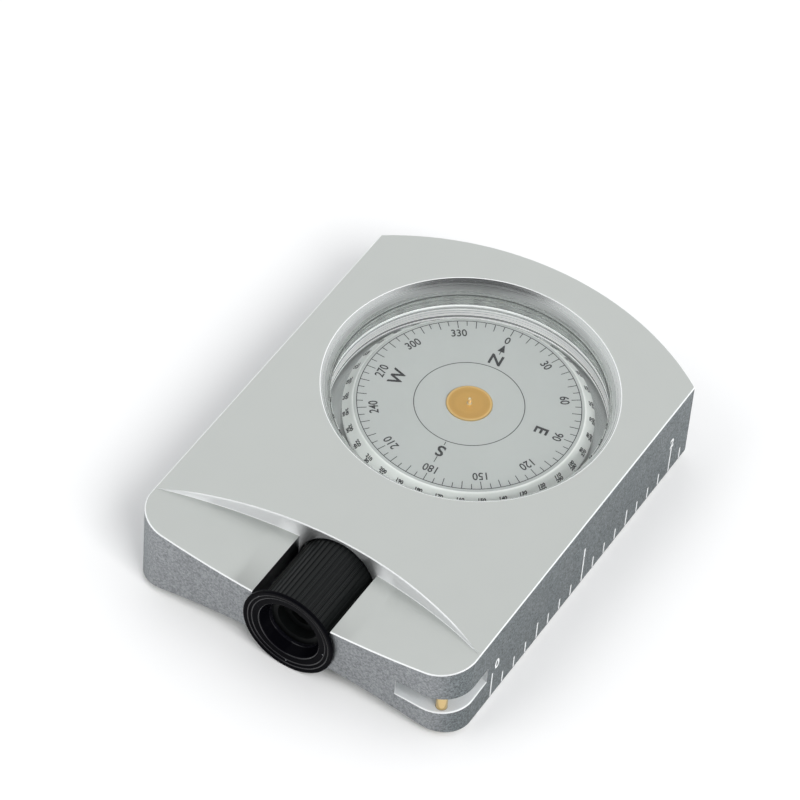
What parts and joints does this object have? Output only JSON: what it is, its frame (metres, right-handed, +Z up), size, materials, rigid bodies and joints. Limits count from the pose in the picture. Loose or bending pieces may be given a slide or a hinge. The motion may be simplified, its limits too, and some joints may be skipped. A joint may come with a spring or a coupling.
{
  "type": "sighting compass",
  "caption": "Flat machined hand-bearing compass: floating dial card in a clear liquid capsule, ribbed focusing eyepiece on the front edge, lanyard slot and engraved ruler.",
  "frame": {"origin": "where the dial axis meets the flat underside", "axes": "+Y is the sighting direction, away from the eyepiece, +X is to the user's right and +Z is up through the dial window"},
  "size_m": [0.0538, 0.0762, 0.0147],
  "materials": {
    "body_aluminium": "satin anodised, with a fine blasted grain on the sides and bright chamfers",
    "cover_aluminium": "satin turned",
    "steel": "plain",
    "rubber": "matt",
    "clear_plastic": "clear, polished",
    "black_plastic": "satin black",
    "gloss_black": "glossy black",
    "brass": "polished",
    "white_paint": "matt filling",
    "card_face": "satin white, printed in black",
    "magnet": "plain",
    "jewel": "polished",
    "lens_glass": "polished"
  },
  "bodies": {
    "case": {"body": "body_aluminium", "back_cover": "cover_aluminium", "cover_screws": "steel", "capsule_pad": "rubber", "capsule_cup": "clear_plastic", "capsule_lid": "clear_plastic", "fill_plug": "clear_plastic", "pivot_post": "steel", "sight_hairline": "black_plastic", "lanyard_pin": "brass", "ruler_paint": "white_paint", "guide_tube": "black_plastic", "friction_ring": "rubber", "retaining_clip": "steel"},
    "compass_card": {"card": "card_face", "magnet_bars": "magnet", "card_hub": "brass", "hub_jewel": "jewel", "guard_pin": "brass"},
    "eyepiece": {"focus_ring": "black_plastic", "eyecup": "gloss_black"},
    "lens_carrier": {"lens_cell": "black_plastic", "lens": "lens_glass", "lens_retainer": "black_plastic", "drive_pin": "steel"}
  },
  "joints": [
    {"name": "card_spin", "type": "hinge", "parent": "case", "child": "compass_card", "pos_m": [0, 0, 0.0085], "axis": [0, 0, 1], "continuous": true},
    {"name": "focus_turn", "type": "hinge", "parent": "case", "child": "eyepiece", "pos_m": [0, -0.042, 0.00685], "axis": [0, 1, 0], "range_deg": [-150, 150]},
    {"name": "lens_travel", "type": "slide", "parent": "case", "child": "lens_carrier", "axis": [0, 1, 0], "range_m": [-0.001, 0.001]}
  ],
  "couplings": [
    {"joint": "lens_travel", "follows": "focus_turn", "m_per_rad": 0.000381}
  ]
}
